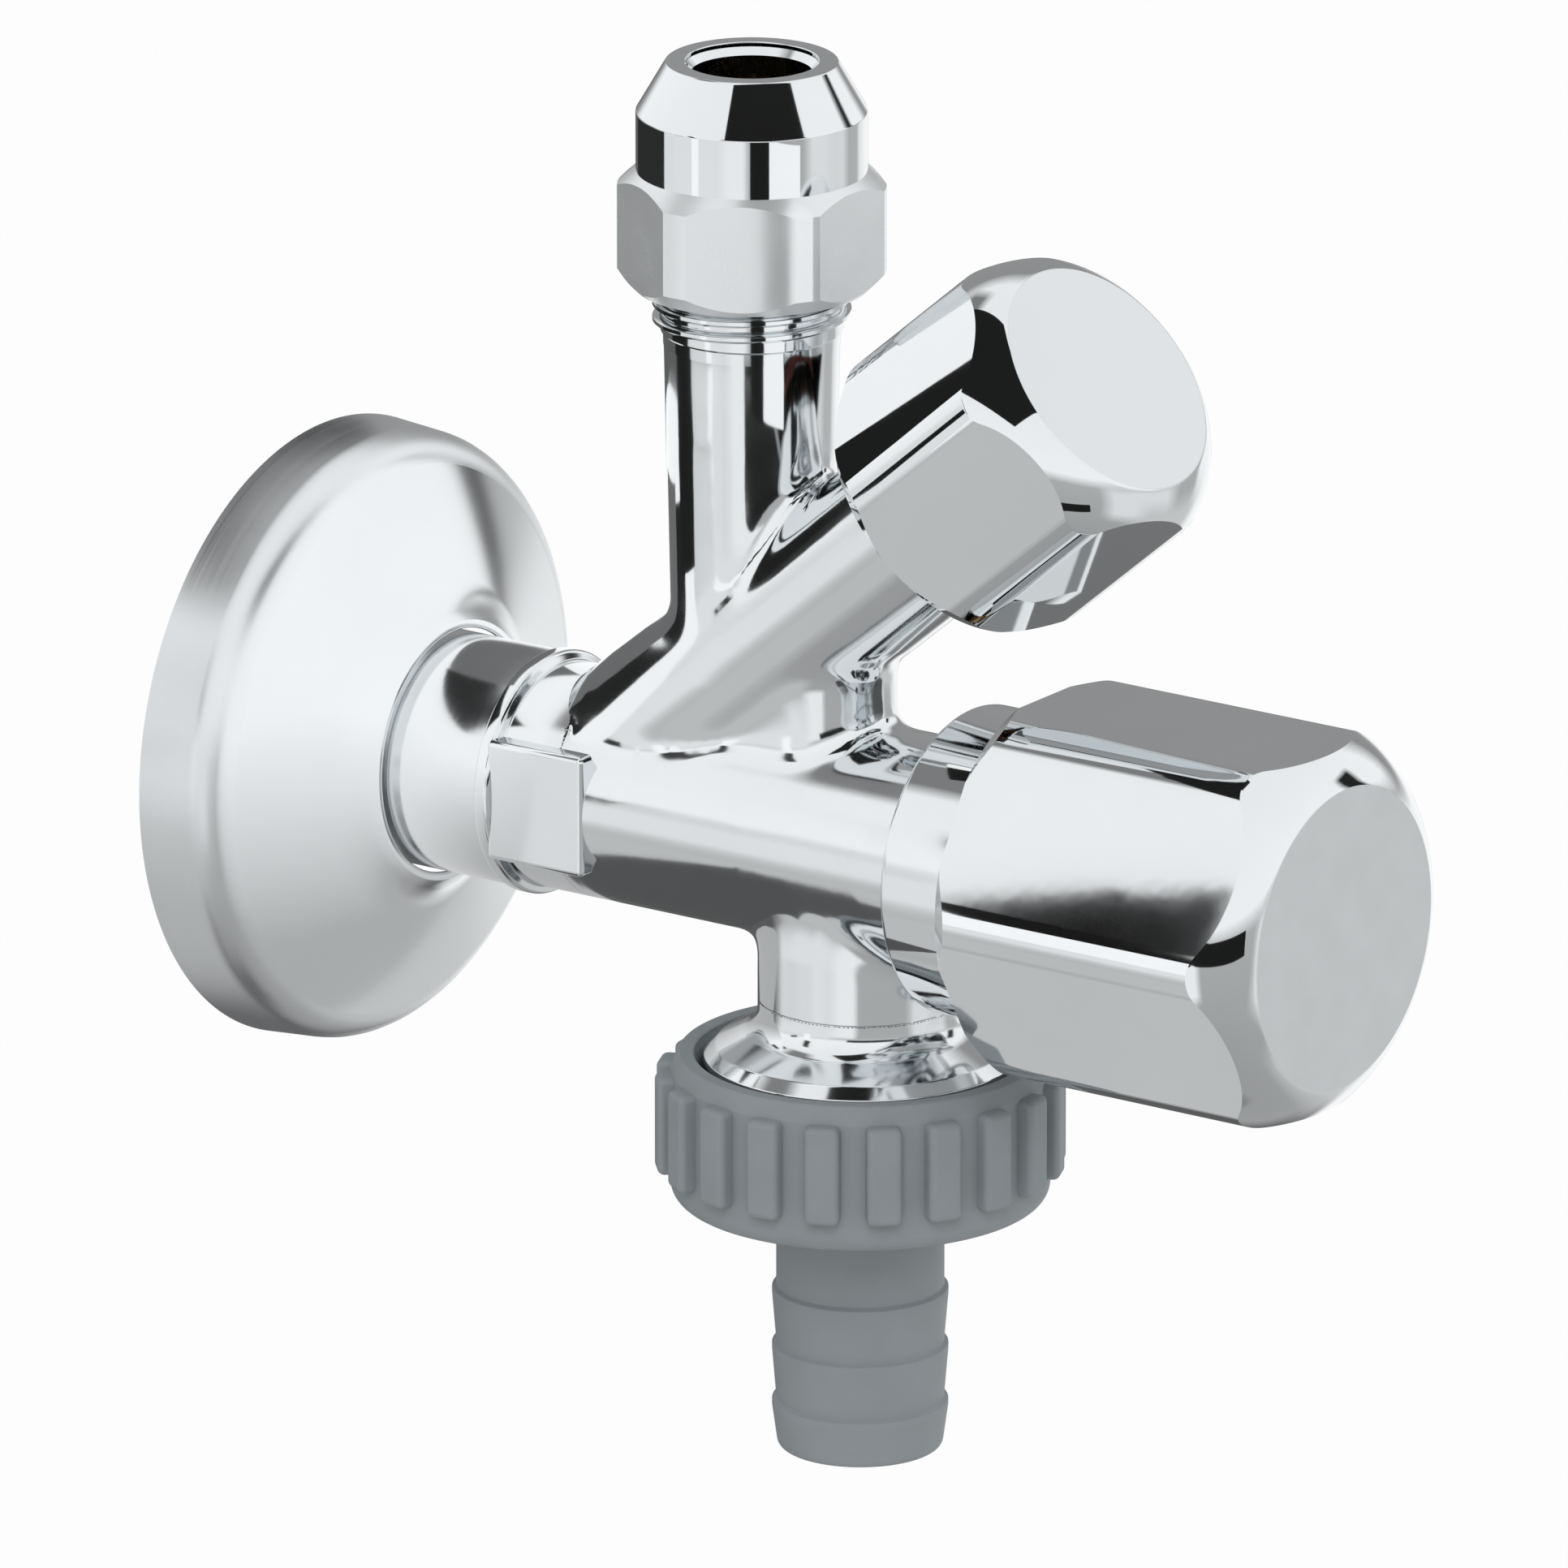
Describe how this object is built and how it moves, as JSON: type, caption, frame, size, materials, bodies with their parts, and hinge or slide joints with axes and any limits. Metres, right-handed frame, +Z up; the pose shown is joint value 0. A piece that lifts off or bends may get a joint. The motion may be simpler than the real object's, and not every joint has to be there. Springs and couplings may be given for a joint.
{
  "type": "washing machine valve",
  "caption": "Wall angle valve with two hexagonal knobs, a coned compression outlet for a pipe, a ribbed union nut with a barbed hose tail and a round wall escutcheon.",
  "frame": {"origin": "the inlet axis where it crosses the wall plane, which is the escutcheon's back face", "axes": "+Y into the wall along the inlet thread, +Z up along the pipe outlet, X across; the valve stands out towards -Y"},
  "size_m": [0.053, 0.1139, 0.1187],
  "materials": {
    "chrome_casting": "polished chrome over a forged casting",
    "chrome_sheet": "polished chrome, brushed on the rim",
    "chrome_knob": "polished chrome with a satin face",
    "chrome_nut": "satin chrome flats, polished cone",
    "brass": "machined",
    "steel": "bright spring steel",
    "grey_plastic": "moulded, matt",
    "white_plastic": "moulded, matt",
    "black_rubber": "smooth rubber",
    "fibre": "red fibre"
  },
  "bodies": {
    "valve": {"valve_body": "chrome_casting", "lower_sleeve": "chrome_knob", "pipe_olive": "brass", "check_housing": "white_plastic", "check_seal": "black_rubber", "check_spring": "steel", "lower_bonnet": "brass", "lower_bonnet_seal": "fibre", "upper_bonnet": "brass", "upper_bonnet_seal": "fibre"},
    "escutcheon": {"wall_escutcheon": "chrome_sheet"},
    "lower_handle": {"lower_knob": "chrome_knob", "lower_knob_insert": "white_plastic", "lower_spindle": "brass", "lower_spindle_ring": "black_rubber", "lower_spindle_clip": "steel"},
    "lower_closure": {"lower_piston": "brass", "lower_piston_ring": "black_rubber", "lower_seat_washer": "black_rubber"},
    "upper_handle": {"upper_knob": "chrome_knob", "upper_knob_insert": "white_plastic", "upper_spindle": "brass", "upper_spindle_ring": "black_rubber", "upper_spindle_clip": "steel"},
    "upper_closure": {"upper_piston": "brass", "upper_piston_ring": "black_rubber", "upper_seat_washer": "black_rubber"},
    "slip_ring": {"thrust_ring": "brass"},
    "pipe_nut": {"compression_nut": "chrome_nut"},
    "tail": {"hose_tail": "grey_plastic", "hose_gasket": "black_rubber"},
    "hose_nut": {"union_nut": "grey_plastic"},
    "poppet": {"check_poppet": "white_plastic"}
  },
  "joints": [
    {"name": "escutcheon_slide", "type": "slide", "parent": "valve", "child": "escutcheon", "axis": [0, -1, 0], "range_m": [0, 0.0085]},
    {"name": "lower_knob_turn", "type": "hinge", "parent": "valve", "child": "lower_handle", "pos_m": [0, -0.08, 0], "axis": [0, -1, 0], "range_deg": [0, 900]},
    {"name": "lower_piston_lift", "type": "slide", "parent": "valve", "child": "lower_closure", "axis": [0, -1, 0], "range_m": [0, 0.00375]},
    {"name": "upper_knob_turn", "type": "hinge", "parent": "valve", "child": "upper_handle", "pos_m": [0, -0.0282, 0], "axis": [0, -0.7627, 0.6468], "range_deg": [0, 900]},
    {"name": "upper_piston_lift", "type": "slide", "parent": "valve", "child": "upper_closure", "axis": [0, -0.7627, 0.6468], "range_m": [0, 0.00375]},
    {"name": "slip_ring_lift", "type": "slide", "parent": "valve", "child": "slip_ring", "axis": [0, 0, 1], "range_m": [0, 0.00802]},
    {"name": "pipe_nut_turn", "type": "hinge", "parent": "slip_ring", "child": "pipe_nut", "pos_m": [0, -0.0441, 0.056], "axis": [0, 0, 1], "range_deg": [0, 2160]},
    {"name": "hose_tail_drop", "type": "slide", "parent": "valve", "child": "tail", "axis": [0, 0, -1], "range_m": [0, 0.00635]},
    {"name": "hose_nut_turn", "type": "hinge", "parent": "tail", "child": "hose_nut", "pos_m": [0, -0.0552, -0.025], "axis": [0, 0, -1], "range_deg": [0, 1260]},
    {"name": "check_poppet_travel", "type": "slide", "parent": "valve", "child": "poppet", "axis": [0, 0, -1], "range_m": [0, 0.0018], "stiffness_N_per_m": 60, "springref_m": -0.002, "deforming": ["check_spring"]}
  ],
  "couplings": [
    {"joint": "lower_piston_lift", "follows": "lower_knob_turn", "m_per_rad": 0.00023873},
    {"joint": "upper_piston_lift", "follows": "upper_knob_turn", "m_per_rad": 0.00023873},
    {"joint": "slip_ring_lift", "follows": "pipe_nut_turn", "m_per_rad": 0.00021279},
    {"joint": "hose_tail_drop", "follows": "hose_nut_turn", "m_per_rad": 0.00028871}
  ]
}
